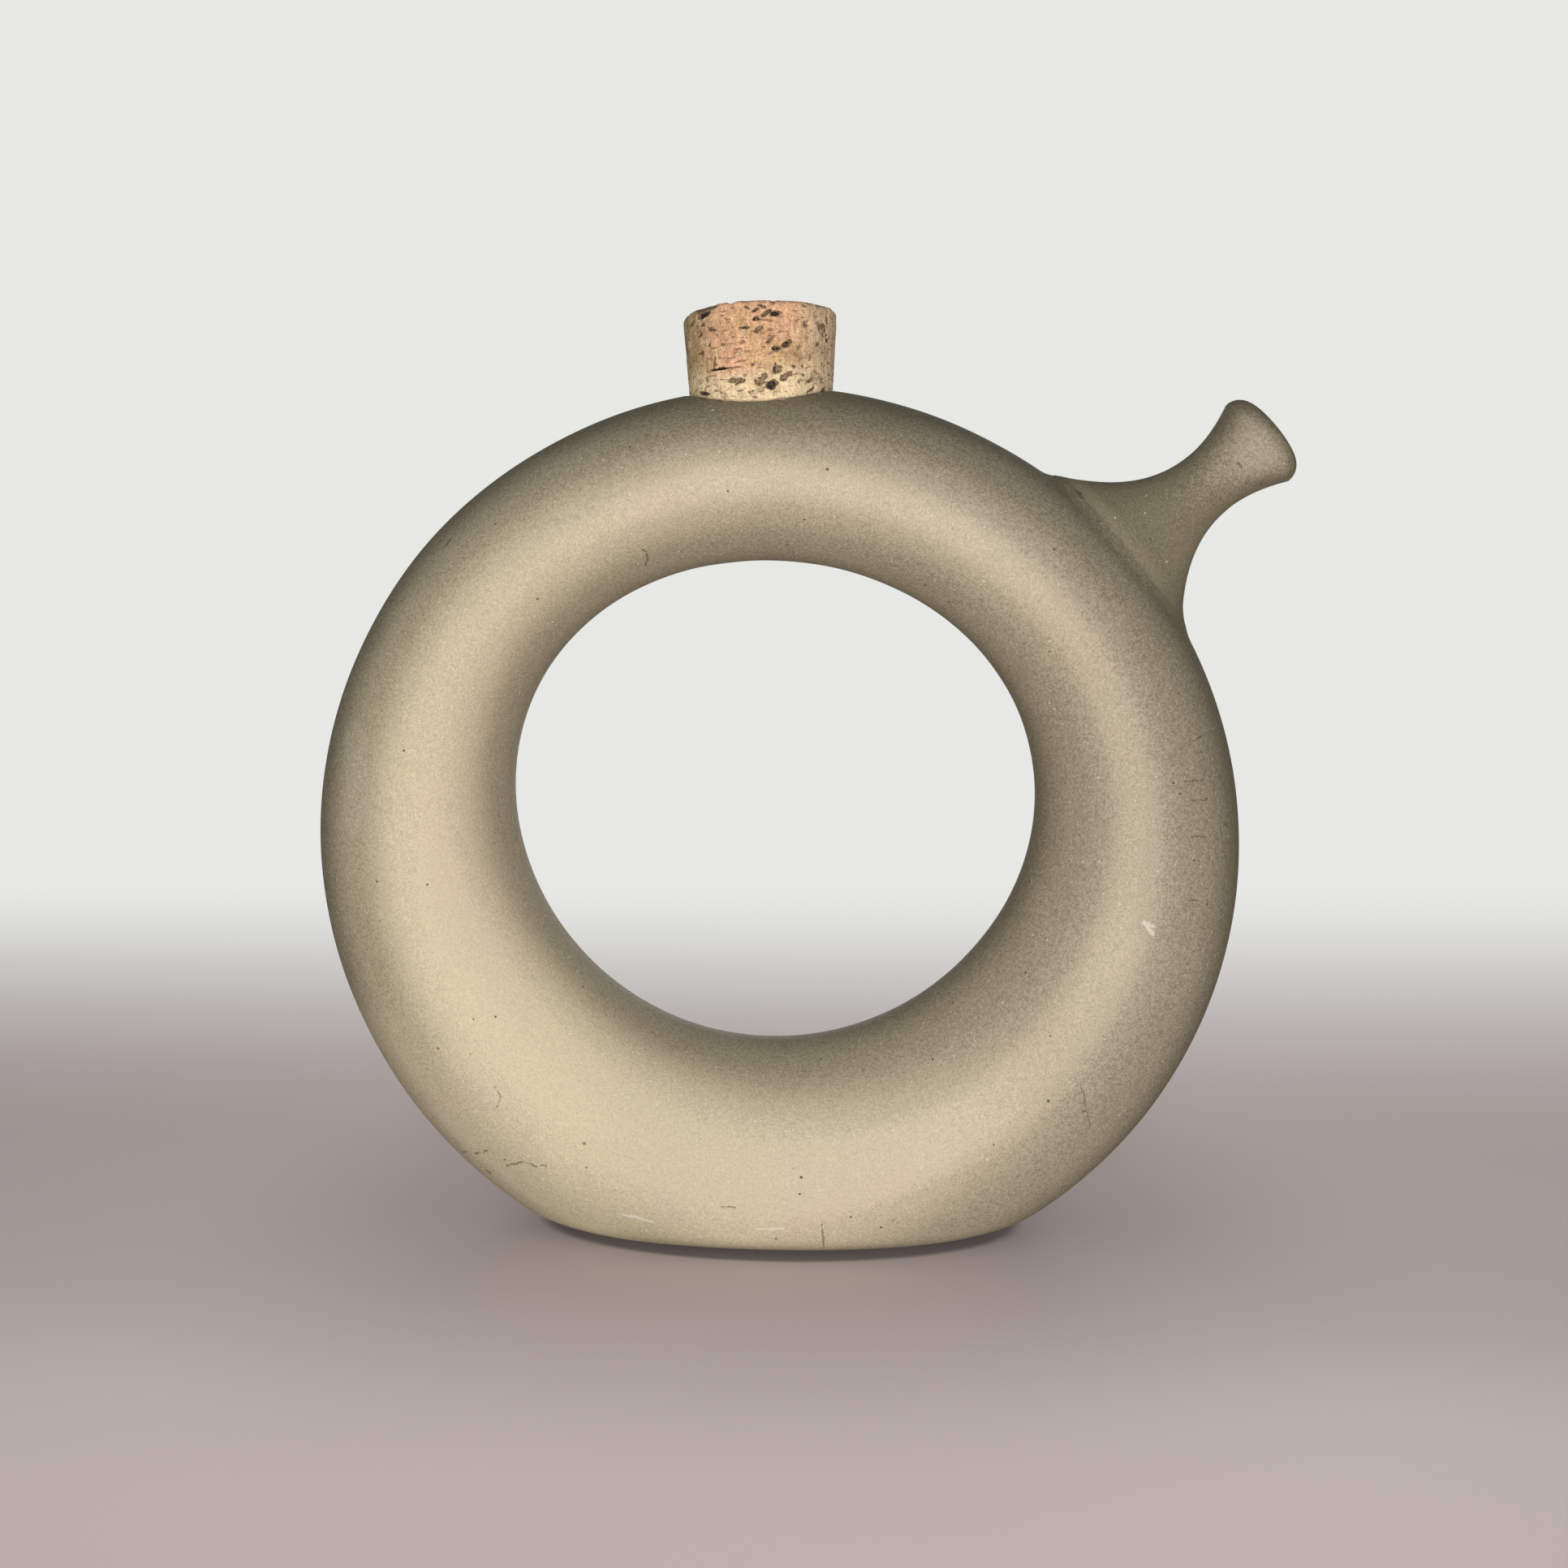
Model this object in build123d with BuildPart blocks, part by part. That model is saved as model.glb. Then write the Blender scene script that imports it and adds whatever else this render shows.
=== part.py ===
from build123d import *
import math
import os

# All lengths are in millimetres. The origin is the centre of the flat base.
# The ring stands in the XZ plane, its front faces -Y and the spout leans towards +X.

# Ring, an upright oval whose lowest part is cut off level for the base
ring_width = 220.0
ring_oval_height = 217.6
ring_depth = 54.0
base_cut = 15.4
ring_wall = 5.0
floor_thickness = 6.5
base_edge_radius = 6.0

# Hole through the ring, an oval set above the ring's centre and a little fuller in three places
hole_width = 126.4
hole_height = 117.0
hole_raise = 11.4
hole_swell = 0.7
hole_lobes = 3

# The ring's right side is lofted well past its top and bottom, then parted there and mirrored
loft_end_angle = 150
loft_step_angle = 30

# Mouth and cork, which share one taper, with its seam turned away from the ring's own seams
cork_length = 34.0
cork_top_diameter = 35.8
cork_bottom_diameter = 31.6
cork_stand = 17.2
cork_top_edge_radius = 0.9
cork_bottom_edge_radius = 0.6
cork_clearance = 0.15
mouth_edge_radius = 0.8
cork_seam_angle = 45

# Spout, which stands on the ring's shoulder and points out a little lower than square
spout_place_angle = 40.4
spout_angle = 38.5
spout_length = 42.9
spout_foot_stand = 0.4
spout_foot_width = 46.8
spout_foot_depth = 26.0
spout_foot_edge_radius = 0.5
spout_neck_diameter = 15.1
spout_rim_diameter = 22.2
spout_lip_height = 4.0
spout_lip_radius = 3.8
spout_mouth_edge_radius = 0.7
spout_bore_foot_width = 34.0
spout_bore_foot_depth = 15.6
spout_bore_neck_diameter = 10.2
spout_bore_mouth_diameter = 12.4
pour_hole_diameter = 13.0

# Where the neck is narrowest, how fast the spout opens from it, and where its outline is set
spout_neck_share = 0.6
foot_flare_share = 2.2
rim_flare_share = 1.8
foot_section_shares = (0, 0.12, 0.3, 0.52, 0.76, 1)
rim_section_shares = (0.5, 1)

# One overrun serves every cut
overrun = 2.0

# Worked out from the sizes above
ring_height = ring_oval_height - base_cut
ring_centre = Vector(0, 0, ring_oval_height / 2 - base_cut)
cork_top_height = ring_height + cork_stand
cork_bottom_height = cork_top_height - cork_length


def oval(plane, half_width, half_depth):
    """Oval of two arcs that meet at the ends of its width, so that a loft runs evenly through it."""
    with BuildSketch(plane) as drawn:
        with BuildLine():
            EllipticalCenterArc((0, 0), half_width, half_depth, 0, arc_size=180)
            EllipticalCenterArc((0, 0), half_width, half_depth, 180, arc_size=180)
        make_face()
    return drawn.sketch


def ring_point(turn, width, height):
    """Point of an oval round the ring's centre, at one turn from +X."""
    return Vector(width / 2 * math.cos(math.radians(turn)), 0, height / 2 * math.sin(math.radians(turn)))


def ring_section(turn, inset):
    """Plane and half sizes of the ring's oval cross-section at one turn from +X."""
    swell = 2 * hole_swell * math.cos(math.radians(hole_lobes * (turn + 90)))
    outer = ring_point(turn, ring_width, ring_oval_height)
    inner = ring_point(turn, hole_width + swell, hole_height + swell) + Vector(0, 0, hole_raise)
    across = outer - inner
    plane = Plane(
        origin=ring_centre + (outer + inner) / 2,
        x_dir=across.normalized(),
        z_dir=across.cross(Vector(0, 1, 0)).normalized(),
    )
    return plane, across.length / 2 - inset, ring_depth / 2 - inset


def ring_form(inset, lowest):
    """Open ring of changing oval section, drawn in by inset and cut off level below lowest."""
    turns = range(-loft_end_angle, loft_end_angle + 1, loft_step_angle)
    with BuildPart() as form:
        loft([oval(*ring_section(turn, inset)) for turn in turns])
        split(bisect_by=Plane.XY.offset(lowest))
    return form.part


def cork_form(clearance):
    """Taper of the cork, or of the mouth that takes it with a clearance."""
    with BuildPart(Plane.XY.offset(cork_bottom_height)) as form:
        Cone(
            cork_bottom_diameter / 2 + clearance,
            cork_top_diameter / 2 + clearance,
            cork_length,
            rotation=(0, 0, cork_seam_angle),
            align=(Align.CENTER, Align.CENTER, Align.MIN),
        )
    return form.part


# The spout's foot plane lies a little under the ring's crest, as low as the ends of the foot
spout_direction = Vector(1, 0, 0).rotate(Axis.Y, -spout_angle)
spout_foot_drop = ring_width / 2 - math.sqrt(ring_width**2 - spout_foot_width**2) / 2
spout_crest = ring_centre + ring_point(spout_place_angle, ring_width, ring_oval_height)
spout_foot = spout_crest - spout_direction * (spout_foot_drop - spout_foot_stand)
spout_root_length = ring_section(spout_place_angle, 0)[1]


def spout_plane(along):
    """Plane across the spout at a distance above its foot, with its x in the ring's plane."""
    return Plane(
        origin=spout_foot + spout_direction * along,
        x_dir=spout_direction.cross(Vector(0, 1, 0)),
        z_dir=spout_direction,
    )


def spout_form(foot_width, foot_depth, neck_diameter, rim_diameter):
    """Trumpet that narrows from an oval foot to a round neck and opens to a round rim."""
    neck = spout_length * spout_neck_share
    rim = spout_length - spout_lip_height
    sections = []
    for share in foot_section_shares:
        flare = (1 - share) ** foot_flare_share
        width = neck_diameter + flare * (foot_width - neck_diameter)
        depth = neck_diameter + flare * (foot_depth - neck_diameter)
        sections.append(oval(spout_plane(share * neck), width / 2, depth / 2))
    for share in rim_section_shares:
        diameter = neck_diameter + share**rim_flare_share * (rim_diameter - neck_diameter)
        sections.append(oval(spout_plane(neck + share * (rim - neck)), diameter / 2, diameter / 2))
    sections.append(oval(spout_plane(spout_length), rim_diameter / 2, rim_diameter / 2))
    with BuildPart() as form:
        loft(sections)
        # A straight root runs on into the ring, where the ring's surface trims it
        extrude(sections[0], amount=-spout_root_length)
    return form.part


os.makedirs("parts", exist_ok=True)

# Cork stopper
with BuildPart() as cork_stopper:
    add(cork_form(0))
    rims = cork_stopper.edges().filter_by(GeomType.CIRCLE).sort_by(Axis.Z)
    fillet(rims[-1], cork_top_edge_radius)
    fillet(rims[0], cork_bottom_edge_radius)
cork_stopper.part.label = "cork_stopper"

# Spout, whose foot fits the ring's surface
ring_outside = ring_form(0, 0)
spout_axis = Axis(spout_foot, spout_direction)
with BuildPart() as spout:
    add(spout_form(spout_foot_width, spout_foot_depth, spout_neck_diameter, spout_rim_diameter))
    fillet(spout.faces().sort_by(spout_axis)[-1].edges(), spout_lip_radius)
    foot_edges = spout.edges().filter_by(
        lambda edge: abs((edge.center() - spout_foot).dot(spout_direction)) < spout_foot_edge_radius
    )
    fillet(foot_edges, spout_foot_edge_radius)
    add(
        spout_form(
            spout_bore_foot_width, spout_bore_foot_depth, spout_bore_neck_diameter, spout_bore_mouth_diameter
        ),
        mode=Mode.SUBTRACT,
    )
    fillet(spout.faces().sort_by(spout_axis)[-1].inner_wires()[0].edges(), spout_mouth_edge_radius)
    add(ring_outside, mode=Mode.SUBTRACT)
spout.part.label = "spout"

# Hollow ring with its mouth and pour hole, before it is parted into its two halves
with BuildPart() as ring:
    add(ring_outside)
    fillet(ring.faces().sort_by(Axis.Z)[0].edges(), base_edge_radius)
    add(cork_form(cork_clearance), mode=Mode.SUBTRACT)
    mouth_edges = ring.edges(Select.LAST).filter_by(
        lambda edge: edge.bounding_box().min.Z > cork_bottom_height + overrun
    )
    fillet(mouth_edges, mouth_edge_radius)
    add(ring_form(ring_wall, floor_thickness), mode=Mode.SUBTRACT)
    split(bisect_by=Plane.YZ)
    mirror(about=Plane.YZ)
    with BuildSketch(spout_plane(spout_foot_drop + overrun)):
        Circle(pour_hole_diameter / 2)
    extrude(amount=-spout_foot_drop - overrun - spout_root_length, mode=Mode.SUBTRACT)

# The two halves of the ring meet on its middle plane
with BuildPart() as ring_front_half:
    add(ring.part)
    split(bisect_by=Plane.XZ, keep=Keep.TOP)
ring_front_half.part.label = "ring_front_half"

with BuildPart() as ring_back_half:
    add(ring.part)
    split(bisect_by=Plane.XZ, keep=Keep.BOTTOM)
ring_back_half.part.label = "ring_back_half"

for piece in (ring_front_half, ring_back_half, spout, cork_stopper):
    export_step(piece.part, f"parts/{piece.part.label}.step")
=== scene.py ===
import math

import bmesh
import bpy
import numpy as np
from mathutils import Matrix


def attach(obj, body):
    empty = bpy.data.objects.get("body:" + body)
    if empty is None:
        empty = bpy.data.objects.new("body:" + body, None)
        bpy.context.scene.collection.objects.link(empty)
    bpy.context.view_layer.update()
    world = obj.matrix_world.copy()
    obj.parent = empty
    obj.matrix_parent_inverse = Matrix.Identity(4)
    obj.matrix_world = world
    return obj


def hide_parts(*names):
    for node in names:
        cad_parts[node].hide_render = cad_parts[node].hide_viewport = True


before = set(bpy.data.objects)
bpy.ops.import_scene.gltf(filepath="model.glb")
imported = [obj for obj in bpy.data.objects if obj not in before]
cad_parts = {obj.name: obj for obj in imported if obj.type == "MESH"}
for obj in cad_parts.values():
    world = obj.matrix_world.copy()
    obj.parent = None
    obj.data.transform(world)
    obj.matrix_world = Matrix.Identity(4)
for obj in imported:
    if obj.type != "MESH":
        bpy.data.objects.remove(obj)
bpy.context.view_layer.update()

# Shapes are worked out in millimetres and built in metres
MM = 0.001

# Ring, as in the solid model: widths, heights above the base, wall and rounded base edge
RING_WIDTH = 220.0
RING_OVAL_HEIGHT = 217.6
RING_DEPTH = 54.0
BASE_CUT = 15.4
RING_WALL = 5.0
FLOOR_THICKNESS = 6.5
FLOOR_EDGE_RADIUS = 3.0
BASE_EDGE_RADIUS = 6.0
RING_CENTRE = RING_OVAL_HEIGHT / 2 - BASE_CUT
RING_HEIGHT = RING_OVAL_HEIGHT - BASE_CUT

# Hole: its oval, and the three-sided swell that the photograph shows turned a little
HOLE_WIDTH = 126.4
HOLE_HEIGHT = 117.0
HOLE_CENTRE = RING_CENTRE + 11.4
HOLE_SHIFT = -0.4
HOLE_SWELL = 0.68
HOLE_SWELL_TURN = math.radians(262)
HOLE_CORE_RADIUS = 40.0

# Mouth and cork, whose top lies a little askew
CORK_BOTTOM = 185.4
CORK_LENGTH = 34.0
CORK_TOP_RADIUS = 17.9
CORK_BOTTOM_RADIUS = 15.8
CORK_CLEARANCE = 0.15
CORK_TOP_FALL_LEFT = 0.0085
CORK_TOP_FALL_RIGHT = 0.003
CORK_TOP_LEVEL_LEFT = -4.0
CORK_TOP_LEVEL_RIGHT = 6.0
CORK_TOP_EDGE = 1.1
CORK_BOTTOM_EDGE = 0.6
MOUTH_EDGE_RADIUS = 0.8

# Spout
SPOUT_PLACE = math.radians(40.4)
SPOUT_ANGLE = math.radians(38.5)
SPOUT_LENGTH = 42.9
SPOUT_FOOT_STAND = 0.4
SPOUT_FOOT_WIDTH = 46.8
SPOUT_FOOT_DEPTH = 26.0
SPOUT_FOOT_EDGE = 1.6
SPOUT_NECK = 15.1
SPOUT_RIM = 22.2
SPOUT_LIP_HEIGHT = 4.0
SPOUT_LIP_RADIUS = 3.8
SPOUT_MOUTH_EDGE_RADIUS = 0.7
BORE_FOOT_WIDTH = 34.0
BORE_FOOT_DEPTH = 15.6
BORE_NECK = 10.2
BORE_MOUTH = 12.4
POUR_HOLE_RADIUS = 6.5
POUR_HOLE_REACH = 12.0
NECK_SHARE = 0.6
FOOT_FLARE_SHARE = 2.2
RIM_FLARE_SHARE = 1.8

# Smoothed fillet between spout and ring, and how far the foot sinks into the ring's clay
JOINT_FILLET = 3.4
FOOT_SINK = 0.6

# Grid steps of the meshes, and how far the grids reach past the ring, the spout's foot and its sides
RING_STEP = 0.95
SPOUT_STEP = 0.42
CORK_STEP = 0.27
RING_MARGIN = 1.0
SPOUT_ROOT_REACH = 20.0, 22.0
SPOUT_SIDE_REACH = 2.0

# Part of a grid step over which a slope is measured
SLOPE_SHARE = 1 / 8

# Unevenness of the hand-built ring and spout: height, size of the lumps, and seed
LUMPS = (0.20, 46, 0), (0.07, 17, 1)
SPOUT_LUMPS = 0.08, 17, 1

# Seam of the two halves: height and width, and the share that shows everywhere, with its lumps
SEAM_HEIGHT = 0.06
SEAM_WIDTH = 1.6
SEAM_SHARE = 0.4
SEAM_LUMPS = 9, 3

# Wear of the cork, cut inwards: height, size and seed of its roughness, and depth and reach of its pits
CORK_WEAR = (0.12, 5, 2), (0.05, 1.1, 3)
PIT_DEPTH = 0.75
PIT_REACH = 4.0

# Edge of a pit: the amount, size and seed of its waver, and where it ends and how wide it is in half sizes
PIT_WAVER = (0.5, 1.3, 4), (0.4, 0.7, 5)
PIT_EDGE = 1.25
PIT_EDGE_WIDTH = 0.6

# Chips along the cork's top edge, and pores in its flat faces: size and seed, from which noise they
# start and how steeply, and their reach
CHIP_LUMPS = 2.3, 5
CHIP_START = 0.22
CHIP_SLOPE = 2.6
CHIP_WIDTH = 1.5
PORE_LUMPS = 1.6, 6
PORE_STRETCH = (1, 0.45, 1)
PORE_START = 0.5
PORE_SLOPE = 3
PORE_MOST = 0.8
TOP_FACE = 1.0
BOTTOM_FACE = 0.5

# Random lattices of the smooth noise: how many, and the points along each side
LATTICE_COUNT = 7
LATTICE_POINTS = 24


def lattice(seed):
    """Random values from -1 to 1 on a cube of points, for smooth noise."""
    return np.random.default_rng(seed).random((LATTICE_POINTS,) * 3) * 2 - 1


LATTICES = [lattice(seed) for seed in range(LATTICE_COUNT)]


def noise(p, size, seed):
    """Smooth noise from -1 to 1 whose lumps are about size across."""
    table = LATTICES[seed]
    n = len(table)
    q = p / size + 100 * (seed + 1)
    cell = np.floor(q).astype(int)
    f = q - cell
    f = f * f * (3 - 2 * f)
    low, high = cell % n, (cell + 1) % n
    total = 0
    for i in (0, 1):
        for j in (0, 1):
            for k in (0, 1):
                weight = (f[:, 0] if i else 1 - f[:, 0]) * (f[:, 1] if j else 1 - f[:, 1])
                weight = weight * (f[:, 2] if k else 1 - f[:, 2])
                corner = [(high if up else low)[:, axis] for axis, up in enumerate((i, j, k))]
                total = total + weight * table[corner[0], corner[1], corner[2]]
    return total


def bell(distance, width):
    """Smooth bump, 1 at no distance and near 0 past twice the width."""
    return np.exp(-((distance / width) ** 2))


def inside_both(a, b, radius):
    """Distance to what lies inside both shapes, with their shared edge rounded."""
    corner = np.hypot(np.maximum(a + radius, 0), np.maximum(b + radius, 0))
    return np.minimum(np.maximum(a, b), -radius) + corner


def blend_rise(a, b, size):
    """How far a smoothed joint between two shapes stands out from them."""
    h = np.maximum(size - np.abs(a - b), 0) / size
    return h * h * size / 4


def oval_distance(u, v, half_u, half_v):
    """Distance from an oval, near enough beside it."""
    q = np.hypot(u / half_u, v / half_v)
    slope = np.hypot(u / half_u**2, v / half_v**2)
    return q * (q - 1) / np.maximum(slope, 1e-9)


def ring_ends(turn):
    """Points of the ring's outline and of the hole's outline at a turn from +X, in the ring's plane."""
    along, up = np.cos(turn), np.sin(turn)
    swell = HOLE_SWELL * np.cos(3 * (turn - HOLE_SWELL_TURN))
    outer = RING_WIDTH / 2 * along, RING_CENTRE + RING_OVAL_HEIGHT / 2 * up
    inner = HOLE_SHIFT + (HOLE_WIDTH / 2 + swell) * along, HOLE_CENTRE + (HOLE_HEIGHT / 2 + swell) * up
    return outer, inner


def ring_place(p):
    """Turn of the ring's cross-section through each point, place across it, and its half thickness."""
    x, z = p[:, 0], p[:, 2]

    def off_line(turn):
        (ox, oz), (ix, iz) = ring_ends(turn)
        return (x - ix) * (oz - iz) - (z - iz) * (ox - ix)

    turn = np.arctan2(z - (RING_CENTRE + HOLE_CENTRE) / 2, x)
    # A few limited steps bring each turn onto the line through its point
    small = 1e-3
    slope = (off_line(turn + small) - off_line(turn - small)) / (2 * small)
    slope = np.where(np.abs(slope) < 1, 1, slope)
    for _ in range(4):
        turn = turn - np.clip(off_line(turn) / slope, -0.15, 0.15)
    (ox, oz), (ix, iz) = ring_ends(turn)
    length = np.hypot(ox - ix, oz - iz)
    across = ((x - (ox + ix) / 2) * (ox - ix) + (z - (oz + iz) / 2) * (oz - iz)) / length
    in_hole = np.hypot(x, z - HOLE_CENTRE) < HOLE_CORE_RADIUS
    return turn, np.where(in_hole, -RING_WIDTH, across), length / 2


SPOUT_DIRECTION = np.array([math.cos(SPOUT_ANGLE), 0, math.sin(SPOUT_ANGLE)])
SPOUT_ACROSS = np.array([-SPOUT_DIRECTION[2], 0, SPOUT_DIRECTION[0]])
SPOUT_CREST = np.array([
    RING_WIDTH / 2 * math.cos(SPOUT_PLACE), 0, RING_CENTRE + RING_OVAL_HEIGHT / 2 * math.sin(SPOUT_PLACE)
])
FOOT_DROP = RING_WIDTH / 2 - math.sqrt(RING_WIDTH**2 - SPOUT_FOOT_WIDTH**2) / 2
SPOUT_FOOT = SPOUT_CREST - SPOUT_DIRECTION * (FOOT_DROP - SPOUT_FOOT_STAND)


def spout_place(p):
    """Distance along the spout from its foot, across it in the ring's plane, and to its side."""
    q = p - SPOUT_FOOT
    return q @ SPOUT_DIRECTION, q @ SPOUT_ACROSS, q[:, 1]


def trumpet(p, foot_width, foot_depth, neck, rim):
    """Distance from the side of a trumpet with an oval foot, a round neck and a round rim."""
    along, across, side = spout_place(p)
    neck_at = SPOUT_LENGTH * NECK_SHARE
    # The foot's edge is eased, so that the flare bends softly into the straight root
    eased = (along + np.hypot(along, SPOUT_FOOT_EDGE)) / 2
    below = np.clip(1 - eased / neck_at, 0, 1)
    above = np.clip((along - neck_at) / (SPOUT_LENGTH - SPOUT_LIP_HEIGHT - neck_at), 0, 1)
    foot_flare = below**FOOT_FLARE_SHARE
    rim_flare = above**RIM_FLARE_SHARE
    width = (neck + foot_flare * (foot_width - neck) + rim_flare * (rim - neck)) / 2
    depth = (neck + foot_flare * (foot_depth - neck) + rim_flare * (rim - neck)) / 2
    spread = FOOT_FLARE_SHARE * below ** (FOOT_FLARE_SHARE - 1) / neck_at
    spread = spread * (1 + along / np.hypot(along, SPOUT_FOOT_EDGE)) / 2
    steep = spread * np.hypot(across / width * (foot_width - neck), side / depth * (foot_depth - neck)) / 2
    steep = steep / np.maximum(np.hypot(across / width, side / depth), 0.3)
    return oval_distance(across, side, width, depth) / np.sqrt(1 + steep**2)


# Small bumps left on the hole's edge where the seam of the two halves was trimmed: turn, height, width
SEAM_BUMPS = ((math.radians(150), 0.5, 1.6), (math.radians(184), 0.45, 1.4), (math.radians(190), 0.5, 2.0))
SEAM_BUMP_REACH = 3


def hand_made(p, turn):
    """Slight unevenness of the hand-built ring, and the trimmed bumps of its seam."""
    lumps = sum(height * noise(p, size, seed) for height, size, seed in LUMPS)
    seam = SEAM_HEIGHT * bell(p[:, 1], SEAM_WIDTH) * (SEAM_SHARE + noise(p, *SEAM_LUMPS))
    in_hole = np.hypot(p[:, 0], p[:, 2] - HOLE_CENTRE) < HOLE_WIDTH / 2 + SEAM_BUMP_REACH
    for at, height, width in SEAM_BUMPS:
        round_hole = np.remainder(turn - at + math.pi, 2 * math.pi) - math.pi
        seam = seam + height * bell(np.hypot(round_hole * HOLE_WIDTH / 2, p[:, 1]), width) * in_hole
    return lumps + seam


def cork_radius(z):
    """Radius of the cork's taper at a height."""
    return CORK_BOTTOM_RADIUS + (z - CORK_BOTTOM) / CORK_LENGTH * (CORK_TOP_RADIUS - CORK_BOTTOM_RADIUS)


def cork_top(x):
    """Height of the cork's worn top, which falls off to both sides and more to the left."""
    left = np.minimum(x - CORK_TOP_LEVEL_LEFT, 0)
    right = np.maximum(x - CORK_TOP_LEVEL_RIGHT, 0)
    return CORK_BOTTOM + CORK_LENGTH - (CORK_TOP_FALL_LEFT * left**2 + CORK_TOP_FALL_RIGHT * right**2)


def near_spout(p):
    """Which points lie near enough to the spout for its joint to reach them."""
    along, across = spout_place(p)[:2]
    return (along > -POUR_HOLE_REACH) & (np.abs(across) < SPOUT_FOOT_WIDTH / 2 + 2 * JOINT_FILLET)


def ring_solid(p):
    """Distance from the hollow ring with its flat base, mouth and pour hole."""
    x, y, z = p.T
    turn, across_ring, half = ring_place(p)
    outside = oval_distance(across_ring, y, half, RING_DEPTH / 2)
    hollow = oval_distance(across_ring, y, half - RING_WALL, RING_DEPTH / 2 - RING_WALL)
    rise = hand_made(p, turn)
    near = near_spout(p)
    spout = trumpet(p[near], SPOUT_FOOT_WIDTH, SPOUT_FOOT_DEPTH, SPOUT_NECK, SPOUT_RIM)
    rise[near] += blend_rise(outside[near], spout, JOINT_FILLET)
    body = inside_both(outside - rise, -z, BASE_EDGE_RADIUS)
    body = np.maximum(body, -inside_both(hollow, FLOOR_THICKNESS - z, FLOOR_EDGE_RADIUS))
    mouth = np.maximum(np.hypot(x, y) - cork_radius(z) - CORK_CLEARANCE, CORK_BOTTOM - z)
    body = inside_both(body, -mouth, MOUTH_EDGE_RADIUS)
    along, across, side = spout_place(p)
    pour = np.maximum(np.hypot(across, side) - POUR_HOLE_RADIUS, -POUR_HOLE_REACH - along)
    return inside_both(body, -pour, MOUTH_EDGE_RADIUS)


def spout_solid(p):
    """Distance from the spout, bored through and fitted on the ring."""
    across_ring, half = ring_place(p)[1:]
    ring = oval_distance(across_ring, p[:, 1], half, RING_DEPTH / 2)
    outside = trumpet(p, SPOUT_FOOT_WIDTH, SPOUT_FOOT_DEPTH, SPOUT_NECK, SPOUT_RIM)
    height, size, seed = SPOUT_LUMPS
    body = outside - blend_rise(ring, outside, JOINT_FILLET) - height * noise(p, size, seed)
    body = inside_both(body, spout_place(p)[0] - SPOUT_LENGTH, SPOUT_LIP_RADIUS)
    body = np.maximum(body, -ring - FOOT_SINK)
    bore = trumpet(p, BORE_FOOT_WIDTH, BORE_FOOT_DEPTH, BORE_NECK, BORE_MOUTH)
    return inside_both(body, -bore, SPOUT_MOUTH_EDGE_RADIUS)


def vase_solid(p):
    """Distance from ring and spout together, whose normals are smooth across their joint."""
    near = near_spout(p)
    both = ring_solid(p)
    both[near] = np.minimum(both[near], spout_solid(p[near]))
    return both


def slope_of(field, p, reach):
    """Direction in which a field grows, and how fast."""
    parts = []
    for axis in range(3):
        step = np.zeros(3)
        step[axis] = reach
        parts.append((field(p + step) - field(p - step)) / (2 * reach))
    return np.stack(parts, -1)


def unit(vectors):
    """The same directions, each one long."""
    return vectors / np.maximum(np.linalg.norm(vectors, axis=-1, keepdims=True), 1e-9)


def sample(field, axes, step):
    """Whether each point of a grid is inside, worked out in full only in blocks near the surface."""
    block = 5
    inside = np.zeros([len(a) for a in axes], bool)
    starts = [range(0, len(a), block) for a in axes]
    corners = np.stack(np.meshgrid(*starts, indexing="ij"), -1).reshape(-1, 3)
    low = np.array([a[0] for a in axes])
    values = field(low + (corners + (block - 1) / 2) * step)
    size = np.array(inside.shape)
    offsets = np.stack(np.meshgrid(*[range(block)] * 3, indexing="ij"), -1).reshape(-1, 3)
    near = np.abs(values) < block * step * 1.4
    for chosen, known in ((corners[near], None), (corners[~near & (values < 0)], True)):
        cells = (chosen[:, None] + offsets).reshape(-1, 3)
        cells = cells[(cells < size).all(-1)]
        inside[tuple(cells.T)] = field(low + cells * step) < 0 if known is None else known
    return inside


def net(field, low, high, step):
    """Closed mesh of a field's zero surface: points and four-sided faces."""
    axes = [np.arange(a - 1.5 * step, b + 2.5 * step, step) for a, b in zip(low, high)]
    inside = sample(field, axes, step)
    shape = inside.shape
    count = np.zeros([n - 1 for n in shape], int)
    for i in (0, 1):
        for j in (0, 1):
            for k in (0, 1):
                count += inside[i:shape[0] - 1 + i, j:shape[1] - 1 + j, k:shape[2] - 1 + k]
    mixed = (count > 0) & (count < 8)
    number = np.full(mixed.shape, -1)
    number[mixed] = np.arange(mixed.sum())
    points = np.stack([a[cells] for a, cells in zip(axes, np.nonzero(mixed))], -1) + step / 2
    faces = []
    for axis in range(3):
        order = (axis, (axis + 1) % 3, (axis + 2) % 3)
        grid = np.moveaxis(inside, order, (0, 1, 2))
        cells = np.moveaxis(number, order, (0, 1, 2))
        change = grid[:-1, 1:-1, 1:-1] != grid[1:, 1:-1, 1:-1]
        leaving = grid[:-1, 1:-1, 1:-1][change]
        i, j, k = np.nonzero(change)
        around = (0, 0), (1, 0), (1, 1), (0, 1)
        quad = np.stack([cells[i, j + a, k + b] for a, b in around], -1)
        faces.append(np.where(leaving[:, None], quad, quad[:, ::-1]))
    for _ in range(3):
        slope = slope_of(field, points, step * SLOPE_SHARE)
        move = (field(points) / np.maximum((slope**2).sum(-1), 0.05))[:, None] * slope
        points = points - move / np.maximum(np.linalg.norm(move, axis=-1, keepdims=True) / step, 1)
    return points, np.concatenate(faces)


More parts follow.
